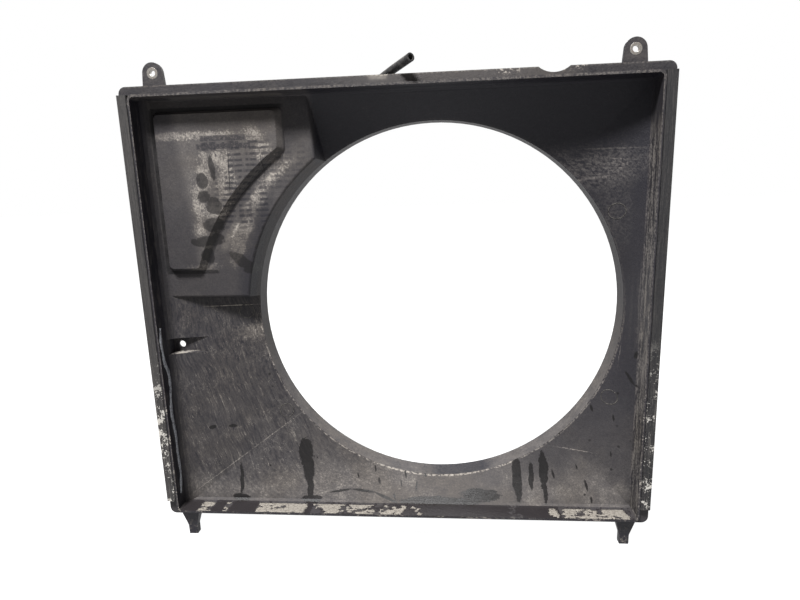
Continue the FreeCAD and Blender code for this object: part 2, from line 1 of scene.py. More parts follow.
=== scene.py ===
import bpy
import bmesh
import math
import random
from mathutils import Matrix, Vector, noise
from mathutils.bvhtree import BVHTree


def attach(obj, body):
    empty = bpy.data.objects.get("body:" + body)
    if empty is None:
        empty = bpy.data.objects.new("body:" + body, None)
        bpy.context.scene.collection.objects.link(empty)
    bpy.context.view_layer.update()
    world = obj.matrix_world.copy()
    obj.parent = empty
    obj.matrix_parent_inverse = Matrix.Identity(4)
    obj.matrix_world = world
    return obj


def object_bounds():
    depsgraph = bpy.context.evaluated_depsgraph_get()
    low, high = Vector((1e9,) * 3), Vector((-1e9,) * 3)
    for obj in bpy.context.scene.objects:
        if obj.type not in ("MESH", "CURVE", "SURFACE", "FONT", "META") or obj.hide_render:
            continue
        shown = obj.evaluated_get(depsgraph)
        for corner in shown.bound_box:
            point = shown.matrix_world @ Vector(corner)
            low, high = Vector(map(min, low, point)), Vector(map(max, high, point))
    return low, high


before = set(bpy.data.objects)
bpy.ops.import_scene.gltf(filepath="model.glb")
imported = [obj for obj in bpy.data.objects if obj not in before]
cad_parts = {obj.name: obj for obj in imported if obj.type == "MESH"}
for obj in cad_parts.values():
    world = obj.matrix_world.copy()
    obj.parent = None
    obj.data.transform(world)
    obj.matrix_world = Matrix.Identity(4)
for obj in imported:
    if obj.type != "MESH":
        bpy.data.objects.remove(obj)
cad_box = [list(c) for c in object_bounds()]
scene = bpy.context.scene
scene.view_settings.view_transform = "Standard"
scene.view_settings.look = "None"
random.seed(7)
MM = 0.001

# ------------------------------------------------------------------ camera
cam_data = bpy.data.cameras.new("camera")
cam_data.sensor_fit = "HORIZONTAL"
cam_data.sensor_width = 36.0
cam_data.lens = 36.0 * 560.0 / 800.0
cam_data.clip_start, cam_data.clip_end = 0.02, 60.0
cam = bpy.data.objects.new("camera", cam_data)
scene.collection.objects.link(cam)
pitch, yaw, roll = (math.radians(a) for a in (-11.730, 5.198, 1.818))
R = (Matrix.Rotation(yaw, 3, "Z") @ Matrix.Rotation(pitch, 3, "X")
     @ Matrix(((math.cos(roll), 0, math.sin(roll)), (0, 1, 0), (-math.sin(roll), 0, math.cos(roll)))))
right, ahead, up = R.col[0], R.col[1], R.col[2]
cam.matrix_world = Matrix.Translation((0.07413, -0.71376, -0.14450)) @ Matrix(
    ((right.x, up.x, -ahead.x, 0), (right.y, up.y, -ahead.y, 0), (right.z, up.z, -ahead.z, 0), (0, 0, 0, 1)))
scene.camera = cam


# ------------------------------------------------------- node graph helper
class Net:
    """A material's node graph; lengths inside it are millimetres in the part's frame."""

    def __init__(self, name):
        self.mat = bpy.data.materials.new(name)
        self.mat.use_nodes = True
        self.t = self.mat.node_tree
        self.t.nodes.clear()
        self.out = self.t.nodes.new("ShaderNodeOutputMaterial")
        self.bsdf = self.t.nodes.new("ShaderNodeBsdfPrincipled")
        self.t.links.new(self.bsdf.outputs[0], self.out.inputs[0])
        tc = self.t.nodes.new("ShaderNodeTexCoord")
        self.p = self.vmath("SCALE", tc.outputs["Object"], scale=1000.0)
        geo = self.t.nodes.new("ShaderNodeNewGeometry")
        self.x, self.y, self.z = self.split(self.p)
        self.nx, self.ny, self.nz = self.split(geo.outputs["True Normal"])
        self.point = geo.outputs["Pointiness"]

    def put(self, socket, value):
        if isinstance(value, bpy.types.NodeSocket):
            self.t.links.new(value, socket)
        elif value is not None:
            socket.default_value = value

    def split(self, v):
        s = self.t.nodes.new("ShaderNodeSeparateXYZ")
        self.put(s.inputs[0], v)
        return s.outputs[0], s.outputs[1], s.outputs[2]

    def join(self, x, y, z):
        s = self.t.nodes.new("ShaderNodeCombineXYZ")
        for i, v in enumerate((x, y, z)):
            self.put(s.inputs[i], v)
        return s.outputs[0]

    def vmath(self, op, a, b=None, scale=None, c=None):
        n = self.t.nodes.new("ShaderNodeVectorMath")
        n.operation = op
        self.put(n.inputs[0], a)
        if b is not None:
            self.put(n.inputs[1], b)
        if c is not None:
            self.put(n.inputs[2], c)
        if scale is not None:
            self.put(n.inputs["Scale"], scale)
        return n.outputs["Value"] if op in ("LENGTH", "DISTANCE", "DOT_PRODUCT") else n.outputs[0]

    def m(self, op, a, b=None, c=None):
        n = self.t.nodes.new("ShaderNodeMath")
        n.operation = op
        for i, v in enumerate((a, b, c)):
            if v is not None:
                self.put(n.inputs[i], v)
        return n.outputs[0]

    def add(self, a, b):
        return self.m("ADD", a, b)

    def mul(self, *vals):
        r = vals[0]
        for v in vals[1:]:
            r = self.m("MULTIPLY", r, v)
        return r

    def inv(self, a):
        return self.m("SUBTRACT", 1.0, a)

    def sat(self, a):
        return self.m("MINIMUM", self.m("MAXIMUM", a, 0.0), 1.0)

    def mx(self, *vals):
        r = vals[0]
        for v in vals[1:]:
            r = self.m("MAXIMUM", r, v)
        return r

    def ramp(self, v, lo, hi, a=0.0, b=1.0):
        n = self.t.nodes.new("ShaderNodeMapRange")
        n.interpolation_type = "SMOOTHSTEP"
        n.clamp = False
        if lo > hi:
            lo, hi, a, b = hi, lo, b, a
        for name, val in (("From Min", lo), ("From Max", hi), ("To Min", a), ("To Max", b)):
            self.put(n.inputs[name], val)
        self.put(n.inputs["Value"], v)
        return n.outputs[0]

    def noise(self, v, scale, detail=4.0, rough=0.55, distort=0.0, kind=None):
        n = self.t.nodes.new("ShaderNodeTexNoise")
        if kind:
            n.noise_type = kind
        self.put(n.inputs["Vector"], v)
        n.inputs["Scale"].default_value = scale
        n.inputs["Detail"].default_value = detail
        n.inputs["Roughness"].default_value = rough
        n.inputs["Distortion"].default_value = distort
        return n.outputs[0]

    def noise_vec(self, v, scale, detail=2.0):
        n = self.t.nodes.new("ShaderNodeTexNoise")
        self.put(n.inputs["Vector"], v)
        n.inputs["Scale"].default_value = scale
        n.inputs["Detail"].default_value = detail
        return n.outputs[1]

    def cells(self, v, scale, feature="F1", rand=1.0):
        n = self.t.nodes.new("ShaderNodeTexVoronoi")
        n.feature = feature
        self.put(n.inputs["Vector"], v)
        n.inputs["Scale"].default_value = scale
        n.inputs["Randomness"].default_value = rand
        return n.outputs["Distance"]

    def wobble(self, v, amount, scale, detail=3.0):
        """v moved about by up to amount millimetres."""
        s = self.t.nodes.new("ShaderNodeSeparateColor")
        self.put(s.inputs[0], self.noise_vec(v, scale, detail))
        j = self.join(*(self.m("MULTIPLY_ADD", s.outputs[i], 2.0 * amount, -amount) for i in range(3)))
        return self.vmath("ADD", v, j)

    def map(self, v, scale=(1, 1, 1), rot=(0, 0, 0), loc=(0, 0, 0), kind="POINT"):
        n = self.t.nodes.new("ShaderNodeMapping")
        n.vector_type = kind
        self.put(n.inputs["Vector"], v)
        n.inputs["Location"].default_value = loc
        n.inputs["Rotation"].default_value = rot
        n.inputs["Scale"].default_value = scale
        return n.outputs[0]

    def turned(self, v, cx, cz, rot):
        """The X and Z of v about (cx, cz), turned by rot degrees anticlockwise as seen from the front."""
        co, si = math.cos(math.radians(rot)), math.sin(math.radians(rot))
        a = self.m("SUBTRACT", self.vmath("DOT_PRODUCT", v, (co, 0.0, si)), co * cx + si * cz)
        b = self.m("SUBTRACT", self.vmath("DOT_PRODUCT", v, (-si, 0.0, co)), co * cz - si * cx)
        return a, b

    def spot(self, v, cx, cz, rx, rz, rot=0.0, soft=0.25):
        """1 inside an ellipse in X and Z, rx by rz."""
        if rot == 0:
            q = self.vmath("MULTIPLY_ADD", v, (1.0 / rx, 0.0, 1.0 / rz), c=(-cx / rx, 0.0, -cz / rz))
            return self.ramp(self.vmath("LENGTH", q), 1.0 + soft, 1.0 - soft)
        a, b = self.turned(v, cx, cz, rot)
        a, b = self.mul(a, 1.0 / rx), self.mul(b, 1.0 / rz)
        return self.ramp(self.m("MULTIPLY_ADD", a, a, self.mul(b, b)), (1.0 + soft) ** 2, (1.0 - soft) ** 2)

    def slab(self, v, x0, x1, z0, z1, soft=6.0, rot=0.0):
        """1 inside a rectangle in X and Z, with edges soft millimetres wide."""
        x, z = self.turned(v, (x0 + x1) / 2, (z0 + z1) / 2, rot)
        a = self.ramp(self.m("ABSOLUTE", x), (x1 - x0) / 2 + soft / 2, (x1 - x0) / 2 - soft / 2)
        b = self.ramp(self.m("ABSOLUTE", z), (z1 - z0) / 2 + soft / 2, (z1 - z0) / 2 - soft / 2)
        return self.mul(a, b)

    def dash(self, v, a, b, width, soft=0.5):
        """1 along the line from a to b, both (x, z)."""
        (x0, z0), (x1, z1) = a, b
        return self.spot(v, (x0 + x1) / 2, (z0 + z1) / 2, math.hypot(x1 - x0, z1 - z0) / 2, width / 2,
                         math.degrees(math.atan2(z1 - z0, x1 - x0)), soft)

    def mix(self, fac, a, b):
        n = self.t.nodes.new("ShaderNodeMix")
        n.data_type = "RGBA"
        n.clamp_factor = True
        self.put(n.inputs["Factor"], fac)
        for name, v in (("A", a), ("B", b)):
            s = next(i for i in n.inputs if i.name == name and i.type == "RGBA")
            self.put(s, (*v, 1.0) if isinstance(v, tuple) and len(v) == 3 else v)
        return next(o for o in n.outputs if o.type == "RGBA")

    def lerp(self, fac, a, b):
        n = self.t.nodes.new("ShaderNodeMix")
        n.data_type = "FLOAT"
        n.clamp_factor = True
        self.put(n.inputs["Factor"], fac)
        self.put(n.inputs["A"], a)
        self.put(n.inputs["B"], b)
        return n.outputs[0]

    def bump(self, height, dist_mm, strength=1.0, normal=None):
        n = self.t.nodes.new("ShaderNodeBump")
        n.inputs["Distance"].default_value = dist_mm * MM
        n.inputs["Strength"].default_value = strength
        self.put(n.inputs["Height"], height)
        if normal is not None:
            self.put(n.inputs["Normal"], normal)
        return n.outputs[0]

    def finish(self, colour, rough, normal=None, metallic=None, spec=0.5):
        self.put(self.bsdf.inputs["Base Color"], colour)
        self.put(self.bsdf.inputs["Roughness"], rough)
        if normal is not None:
            self.put(self.bsdf.inputs["Normal"], normal)
        if metallic is not None:
            self.put(self.bsdf.inputs["Metallic"], metallic)
        self.bsdf.inputs["Specular IOR Level"].default_value = spec
        return self.mat


# --------------------------------------------------------------- materials
BLACK = (0.0078, 0.0074, 0.0104)
DUST = (0.142, 0.125, 0.108)
PALE = (0.255, 0.232, 0.205)
MUD = (0.185, 0.170, 0.148)
# near black of wet stains, also used as painted shade in the groove round the pad
WET_AND_GROOVE_SHADE = (0.0036, 0.0032, 0.0034)

# Stains: (x, z, half width, half height, turn) in millimetres and degrees.
WET_SPOTS = [
    (-249, -212, 20, 6.7, 0), (-262, -214, 9.4, 5.4, -15), (-238, -209, 8.1, 6.8, 0), (-253, -233, 6.8, 9.6, 5),
    (-206, -242, 20, 7.5, -38), (-195, -254, 12.3, 4.8, 0), (-234, -117, 3.9, 14.4, 4), (-249, -133, 7.9, 9.2, 0),
    (-248, -154, 9.3, 7.9, 0), (-236, -165, 10.6, 11.9, 0), (-240, -191, 14.7, 9.4, 0),
    (-248, -488, 5.9, 3.0, 0), (-277, -487, 4.4, 3.0, 0)]
WET_RUNS = [
    (-143, -532, 9.0, 19, 2), (-139, -556, 7.2, 22, 2), (-136, -586, 4.2, 20, 2), (-240, -569, 2.8, 24, 0),
    (-240, -597, 14, 5, 0), (168, -568, 6.0, 26, 2), (188, -564, 3.6, 17.4, 0), (205, -555, 5.8, 24, 2),
    (207, -584, 3.6, 14, 0), (-135, -597, 15, 4.5, 0), (56, -598, 60, 5.0, 0), (116, -590, 30, 7, 0)]
HEAVY = [
    (-239, -75, 64, 6.0, 0), (-286, -75, 26, 6.0, 0), (-175, -77, 20, 10, 0), (-165, -96, 15, 13, 0),
    (-224, -107, 13, 15, 0), (-244, -122, 10, 26, 0), (-218, -133, 15, 39, 0), (-256, -164, 10, 33, 0),
    (-235, -175, 18, 16, 0), (-258, -197, 10, 13, 0), (-260, -249, 27, 7, 0), (-211, -219, 8, 27, -15),
    (-196, -192, 8, 30, -28), (-179, -160, 8, 24, -35), (-162, -134, 9, 21, -40), (-148, -117, 12, 16, -30),
    (-211, -347, 28, 13, 0)]
SILT = [
    (-297, -579, 26, 19, 0), (-220, -590, 52, 13, 0), (-167, -577, 30, 22, 0), (-107, -573, 45, 24, 0),
    (-55, -563, 38, 27, 0), (-11, -570, 27, 32, 0), (15, -573, 8, 32, 0), (154, -554, 12, 17, -10),
    (190, -584, 14, 18, 0), (228, -583, 29, 16, 0), (263, -566, 30, 30, 0), (299, -583, 30, 17, 0),
    (143, -586, 14, 9, 0)]
# Scratches (a, b, width, strength); the first is a painted highlight along the crease running from the lower left
# corner up towards the ring.
SCRATCHES_AND_CREASE_HIGHLIGHT = [
    ((-298, -579), (-157, -479), 1.3, 0.75), ((227, -522), (271, -527), 1.2, 0.9),
    ((249, -108.5), (312, -109.5), 1.6, 0.45), ((255, -119), (308, -124), 1.3, 0.3),
    ((268, -133), (302, -133), 1.4, 0.25), ((236, -147), (283, -143), 3.0, 0.4),
    ((-229, -365), (-221, -392), 0.9, 0.4), ((-208, -512), (-197, -558), 0.9, 0.35),
    ((-258, -517), (-249, -558), 0.9, 0.45), ((-281, -414), (-270, -476), 1.0, 0.4),
    ((-209, -450), (-192, -497), 1.1, 0.5), ((-265, -431), (-255, -465), 0.9, 0.4),
    ((-189, -377), (-179, -409), 0.9, 0.4), ((-227, -535), (-221, -556), 0.9, 0.5),
    ((-176, -421), (-163, -449), 0.9, 0.35), ((306, -372), (303, -397), 0.8, 0.5)]
# Painted highlights (a, b, width): thin light lines where edges catch the light, the first along the lower edge of
# the seat recess.
PAINTED_EDGE_HIGHLIGHTS = [
    ((-321, -371.8), (-286, -370.2), 1.7), ((-264, -306), (-204, -307), 1.2)]
DARK_TICKS = [
    ((311, -404), (320, -420), 3.4), ((320, -420), (325, -421), 3.0), ((217, -554), (220, -566), 3.2),
    ((262, -566), (266, -581), 3.2), ((270, -588), (271, -597), 3.0), ((298, -468), (299, -477), 2.6),
    ((296, -522), (297, -529), 2.4), ((321, -373), (320, -383), 3.2), ((-34.5, -571), (-32.5, -579), 3.0),
    ((-40.5, -555), (-39, -564), 2.6), ((-66, -564), (-64, -571), 2.4), ((-107, -589), (-74, -585), 3.0),
    ((-74, -585), (-40, -589), 3.2), ((-40, -589), (-5, -601), 3.2), ((270, -458), (272, -467), 3.4),
    ((4, -563), (6, -573), 2.6), ((-2, -575), (0, -583), 2.2), ((22, -577), (21, -587), 2.6),
    ((33, -567), (36, -572), 2.4), ((-210.5, -97), (-212.5, -154), 1.4), ((227, -500), (229, -504), 2.4),
    ((-168, -96), (-166, -132), 1.2), ((-12, -590), (-9, -598), 2.6), ((250, -545), (252, -552), 2.2)]


def shell_material():
    g = Net("shell_plastic_worn")
    p = g.p
    w = g.wobble(p, 3.2, 0.07, 4.0)
    ws = g.wobble(p, 1.0, 0.25, 3.0)
    n1 = g.noise(p, 0.011, 3, 0.6)
    n2 = g.noise(p, 0.055, 3, 0.62)
    n3 = g.noise(p, 0.33, 3, 0.65)
    n4 = g.noise(p, 1.1, 2, 0.6)
    grit = g.m("SUBTRACT", g.noise(p, 0.55, 2, 0.75), 0.5)
    c = {k: g.m("SUBTRACT", v, 0.5) for k, v in (("1", n1), ("2", n2), ("3", n3), ("4", n4))}
    wx, _, wz = g.split(w)
    front = g.ramp(g.ny, -0.03, -0.15)
    back = g.ramp(g.ny, 0.03, 0.15)
    upward = g.ramp(g.nz, 0.75, 0.95)
    rx, rz = g.m("SUBTRACT", g.x, 56.0), g.m("ADD", g.z, 317.0)
    rr = g.m("SQRT", g.add(g.mul(rx, rx), g.mul(rz, rz)))
    inward = g.m("DIVIDE", g.add(g.mul(rx, g.nx), g.mul(rz, g.nz)), rr)
    ring_in = g.mul(g.ramp(inward, -0.93, -0.99), g.ramp(g.m("ABSOLUTE", g.m("SUBTRACT", rr, 252.0)), 3.0, 1.0))
    # fields across the tray
    right_side = g.ramp(g.x, -104.0, -94.0)
    pad_zone = g.mul(g.ramp(g.y, 22.5, 20.5), g.ramp(g.y, 10.0, 13.0), g.ramp(g.x, -133.0, -137.0))
    panel_zone = g.mul(g.ramp(g.x, -96.0, -104.0), g.ramp(g.z, -293.0, -290.0))

    # --- how much dust, region by region
    lower = g.ramp(wz, -300.0, -560.0)
    d_right = g.add(0.012, g.mul(g.ramp(wz, -140.0, -230.0), 0.022))
    d_right = g.add(d_right, g.mul(g.ramp(wz, -400.0, -560.0), 0.13))
    swirl = g.mul(g.spot(w, 268, -120, 52, 34, 10, 0.5),
                  g.ramp(g.noise(g.map(ws, (26, 1, 3.2), (0, math.radians(4), 0), kind="TEXTURE"), 1.0, 4, 0.6, 0.6), 0.40, 0.66))
    d_right = g.add(d_right, g.mul(swirl, 0.26))
    d_right = g.add(d_right, g.mul(g.spot(w, 208, -104, 22, 5, -28, 0.8), g.ramp(n3, 0.35, 0.6), 0.16))
    d_right = g.add(d_right, g.mul(g.spot(w, 287, -160, 14, 60, 4, 0.9), g.ramp(n3, 0.35, 0.65), 0.10))
    bend = g.wobble(p, 7.0, 0.010, 2.0)
    smear = g.noise(g.map(bend, (46, 1, 4.6), (0, math.radians(72), 0), kind="TEXTURE"), 1.0, 4, 0.72)
    smear = g.m("SUBTRACT", smear, 0.5)
    d_left = g.add(g.add(0.100, g.mul(lower, 0.05)), g.mul(smear, 0.58))
    d_left = g.mx(d_left, 0.02)
    d = g.lerp(g.ramp(g.x, 30.0, 130.0), d_left, d_right)
    clean_top = g.mul(g.ramp(wz, -128.0, -96.0), g.ramp(g.x, -104.0, -96.0))
    d = g.mul(d, g.m("SUBTRACT", 1.0, g.mul(clean_top, 0.92)))
    d = g.add(d, g.mul(g.slab(w, -150, 120, -640, -505, 50), 0.07))
    # raised panel and pad
    d_panel = g.lerp(g.ramp(g.x, -210.0, -110.0), 0.19, 0.12)
    d_panel = g.lerp(g.ramp(g.z, -200.0, -262.0), d_panel, 0.115)
    fade_ring = g.ramp(rr, 262.0, 284.0)
    d_panel = g.mul(d_panel, g.lerp(fade_ring, 0.35, 1.0))
    d_panel = g.add(d_panel, g.mul(g.spot(w, -128, -150, 26, 62, -20, 0.5), 0.16))
    d_pad = g.lerp(g.ramp(g.add(g.x, g.mul(g.m("ADD", g.z, 150.0), 0.10)), -280.0, -262.0), 0.105, 0.30)
    d_pad = g.add(d_pad, g.mul(g.spot(w, -285, -120, 30, 50, 0, 0.6), 0.07))
    d_panel = g.lerp(pad_zone, d_panel, d_pad)
    d = g.lerp(panel_zone, d, d_panel)
    # heavy patches with ragged edges
    heavy = None
    for e in HEAVY:
        m = g.spot(w, *e, soft=0.75)
        heavy = m if heavy is None else g.mx(heavy, m)
    heavy = g.mul(g.ramp(g.add(heavy, g.add(g.mul(c["3"], 1.7), g.mul(c["2"], 1.3))), 0.30, 1.15), front)
    silt = None
    for e in SILT:
        m = g.spot(w, *e, soft=0.9)
        silt = m if silt is None else g.mx(silt, m)
    bed = g.mul(g.ramp(wz, -520.0, -586.0), g.slab(w, -318, 318, -660, -400, 26))
    silt = g.add(g.mul(silt, 0.45), g.mul(bed, 0.60))
    silt = g.mul(g.ramp(g.add(silt, g.add(g.mul(c["3"], 0.45), g.mul(c["2"], 0.7))), 0.05, 1.25), front)
    d = g.add(d, g.mul(heavy, 0.26))
    d = g.add(d, g.mul(silt, g.lerp(g.ramp(g.x, 100.0, 160.0), 0.20, 0.25)))
    # print of the core's fins in the dust: dark dashes in rows
    rows = g.m("SINE", g.mul(g.add(g.z, g.mul(c["2"], 5.0)), 2 * math.pi / 7.3))
    cols = g.noise(g.map(p, (9, 1, 60), kind="TEXTURE"), 1.0, 2, 0.5)
    dash = g.mul(g.ramp(g.add(rows, g.mul(c["3"], 1.4)), -0.1, 0.5), g.ramp(cols, 0.42, 0.52))
    print_zone = g.mx(g.slab(w, -232, -158, -196, -84, 14), g.slab(w, -246, -170, -98, -80, 4), g.mul(g.slab(w, -190, -104, -150, -94, 18), 0.55))
    print_ = g.mul(dash, print_zone)
    d = g.mul(d, g.m("SUBTRACT", 1.0, g.mul(print_, 0.72)))
    fine = g.m("SINE", g.mul(g.add(g.z, g.mul(c["2"], 3.0)), 2 * math.pi / 3.4))
    fine_zone = g.mul(g.spot(w, -160, -215, 34, 50, -20, 0.6), g.ramp(cols, 0.35, 0.6))
    d = g.mul(d, g.m("ADD", 1.0, g.mul(g.mul(fine, fine_zone), 0.28)))
    bars = g.mx(g.slab(ws, -246, -186, -83, -76, 1.5), g.slab(ws, -252, -180, -93, -86.5, 1.5))
    d = g.mul(d, g.m("SUBTRACT", 1.0, g.mul(bars, g.ramp(n3, 0.38, 0.5), 0.75)))
    # painted shade darkening the crevice round the foot of the pad, and the dusty band beside its curved edge
    ax_, az_ = g.m("SUBTRACT", g.x, 20.8), g.m("ADD", g.z, 347.3)
    arc = g.m("SQRT", g.add(g.mul(ax_, ax_), g.mul(az_, az_)))
    in_z, in_x = g.mul(g.ramp(g.z, -257.0, -252.0), g.ramp(g.z, -39.0, -43.0)), g.mul(g.ramp(g.x, -315.0, -311.0), g.ramp(g.x, -134.0, -142.0))
    low_x = g.mul(g.ramp(g.x, -315.0, -311.0), g.ramp(g.x, -238.0, -244.0))
    groove_painted_shade = g.mx(g.mul(g.ramp(g.m("ABSOLUTE", g.m("ADD", g.x, 311.8)), 4.0, 1.6), in_z),
                  g.mul(g.ramp(g.m("ABSOLUTE", g.m("ADD", g.z, 254.8)), 3.6, 1.6), low_x),
                  g.mul(g.ramp(g.m("ABSOLUTE", g.m("ADD", g.z, 41.6)), 3.2, 1.4), in_x),
                  g.mul(g.ramp(g.m("ABSOLUTE", g.m("SUBTRACT", arc, 293.0)), 2.4, 0.8), g.ramp(g.z, -252.0, -248.0),
                        g.ramp(g.z, -100.0, -130.0), 0.6))
    groove_painted_shade = g.mul(groove_painted_shade, panel_zone, g.add(0.7, g.mul(c["2"], 1.2)))
    beside = g.mul(g.ramp(g.m("ABSOLUTE", g.m("SUBTRACT", arc, 280.0)), 7.0, 2.0), g.ramp(g.z, -235.0, -215.0),
                   g.ramp(g.z, -95.0, -125.0), panel_zone)
    d = g.add(d, g.mul(beside, g.ramp(n2, 0.35, 0.6), 0.20))
    # general breakup
    d = g.mul(d, g.add(0.38, g.add(g.mul(n2, 0.74), g.mul(n1, 0.50))))
    d = g.add(d, g.mul(c["3"], g.add(0.03, g.mul(d, 0.60))))
    d = g.add(d, g.mul(grit, g.add(0.06, g.mul(d, 0.9))))
    d = g.add(d, g.mul(c["4"], g.add(0.012, g.mul(d, 0.32))))
    d = g.mx(d, 0.0)
    # fine scratches, mostly down to the right on the lower left
    sc = g.noise(g.map(g.wobble(p, 2.0, 0.03), (22, 1, 0.9), (0, math.radians(66), 0), kind="TEXTURE"), 1.0, 2, 0.5)
    sc2 = g.noise(g.map(g.wobble(p, 2.0, 0.03), (30, 1, 0.8), (0, math.radians(84), 0), kind="TEXTURE"), 1.0, 2, 0.5)
    lines = g.mx(g.ramp(sc, 0.60, 0.68), g.ramp(sc2, 0.62, 0.70))
    sc_zone = g.mul(g.slab(w, -316, -150, -580, -300, 50), g.add(0.2, n2), g.ramp(n3, 0.38, 0.55))
    d = g.add(d, g.mul(lines, g.mul(sc_zone, 0.16)))
    hair = g.noise(g.map(bend, (130, 1, 5.2), (0, math.radians(70), 0), kind="TEXTURE"), 1.0, 2, 0.6)
    hair = g.mul(g.ramp(g.m("ABSOLUTE", g.m("SUBTRACT", hair, 0.52)), 0.018, 0.005), g.ramp(n2, 0.40, 0.56),
                 g.slab(w, -318, -140, -575, -296, 50), front)
    d = g.add(d, g.mul(hair, 0.30))
    # scratches, the first of them a painted highlight along the lower left crease
    marks = None
    for a, b, wd, k in SCRATCHES_AND_CREASE_HIGHLIGHT:
        m = g.mul(g.dash(ws, a, b, wd, 0.6), k)
        marks = m if marks is None else g.mx(marks, m)
    marks = g.mul(marks, g.ramp(n3, 0.36, 0.5), front)
    d = g.add(d, g.mul(marks, 0.42))
    # painted highlights on lit edges
    for a, b, wd in PAINTED_EDGE_HIGHLIGHTS:
        d = g.add(d, g.mul(g.dash(p, a, b, wd, 0.5), g.ramp(n3, 0.30, 0.5), 0.6))
    # beige band where the right wall meets the panel, and streaks on the left wall
    band = g.mul(g.ramp(g.m("ABSOLUTE", g.m("SUBTRACT", g.x, g.add(319.5, g.mul(c["2"], 6.0)))), 7.0, 1.5),
                 g.ramp(g.z, -95.0, -120.0), g.ramp(g.z, -500.0, -400.0), g.ramp(g.y, 34.0, 44.0))
    d = g.add(d, g.mul(band, g.add(0.12, g.mul(g.ramp(g.add(n2, g.mul(c["3"], 0.6)), 0.35, 0.65), 0.46))))
    wall_l = g.mul(g.ramp(g.nx, 0.7, 0.95), g.ramp(g.x, -318.0, -322.0))
    streak = g.noise(g.map(w, (3, 5, 45), kind="TEXTURE"), 1.0, 4, 0.6)
    d = g.lerp(wall_l, d, g.add(0.015, g.mul(g.ramp(streak, 0.45, 0.72), g.ramp(g.z, -30.0, -60.0), 0.20)))
    wall_r = g.mul(g.ramp(g.nx, -0.8, -0.96), g.ramp(g.x, 317.0, 322.0))
    d = g.lerp(wall_r, d, g.add(0.05, g.mul(g.ramp(g.add(streak, g.mul(c["3"], 0.5)), 0.38, 0.62), g.ramp(g.z, -60.0, -110.0), 0.46)))
    # ring wall
    low_ring = g.ramp(g.z, -250.0, -440.0)
    d_ring = g.add(0.10, g.mul(low_ring, g.add(0.20, g.mul(c["2"], 0.5))))
    d_ring = g.mul(d_ring, g.m("SUBTRACT", 1.0, g.mul(g.spot(w, 92, -566, 50, 12, 0, 0.3), 0.88)))
    d_ring = g.add(d_ring, g.mul(c["3"], g.add(0.05, g.mul(low_ring, 0.55))))
    d = g.lerp(ring_in, d, d_ring)
    # painted highlight: a thin light line along the ring's lip, stronger on its lower half
    lip_painted_highlight = g.mul(g.ramp(g.m("ABSOLUTE", g.m("SUBTRACT", rr, 253.2)), 1.5, 0.5), front, g.ramp(n3, 0.40, 0.54),
                g.add(g.mul(low_ring, 0.34), 0.05))
    d = g.add(d, lip_painted_highlight)
    # floor of the tray: brown wet film
    floor_ = g.mul(upward, g.ramp(g.z, -590.0, -598.0), g.ramp(g.y, 36.0, 32.0))

    def reach(x0, x1):
        return g.mul(g.ramp(wx, x0 - 3.0, x0 + 3.0), g.ramp(wx, x1 + 3.0, x1 - 3.0))

    caked = g.mx(g.mul(reach(-299, -275), 0.98), g.mul(reach(-262, -250), 0.93), g.mul(reach(-212, -138), 1.05),
                 g.mul(reach(-131, -10), 0.92), g.mul(reach(150, 176), 0.80), g.mul(reach(222, 330), 0.97),
                 g.mul(reach(-8, 215), 0.30))
    caked = g.ramp(g.add(g.mul(caked, 0.52), g.add(g.mul(c["3"], 0.85), g.mul(c["2"], 0.75))), 0.43, 0.47)
    d = g.lerp(floor_, d, g.add(0.012, g.add(g.mul(g.ramp(n2, 0.45, 0.7), 0.03), g.mul(caked, 0.13))))
    # wet or rubbed clean
    wet = None
    for e in WET_SPOTS + WET_RUNS:
        m = g.spot(w, *e, soft=0.45)
        wet = m if wet is None else g.mx(wet, m)
    wet = g.ramp(g.add(wet, g.add(g.mul(c["3"], 1.5), g.mul(c["2"], 1.3))), 0.40, 0.62)
    for a, b, wd in DARK_TICKS:
        wet = g.mx(wet, g.dash(ws, a, b, wd, 0.3))
    specks = g.mul(g.ramp(g.cells(p, 0.055), 0.13, 0.07), g.ramp(g.noise(p, 0.02, 2), 0.52, 0.60), g.ramp(g.z, -330.0, -420.0))
    wet = g.mul(g.mx(g.mul(wet, g.lerp(panel_zone, 0.92, 0.74)), g.mul(specks, 0.8)), front)
    d = g.mul(d, g.m("SUBTRACT", 1.0, g.mul(wet, 0.96)))
    # worn light edges: the rim of the walls, the flange and the ears; the lines along the walls' inner front edges
    # and the flange's top edge are partly painted highlight
    rim = g.mul(front, g.ramp(g.y, -6.35, -6.6))
    along = g.noise(g.map(ws, (1.1, 3, 26), kind="TEXTURE"), 1.0, 3, 0.65)
    chips = g.ramp(g.add(n3, g.mul(c["2"], 0.9)), 0.60, 0.66)
    rim_d = g.add(g.add(0.03, g.mul(g.ramp(along, 0.50, 0.74), 0.22)), g.mul(chips, g.ramp(g.z, -360.0, -480.0), 0.5))
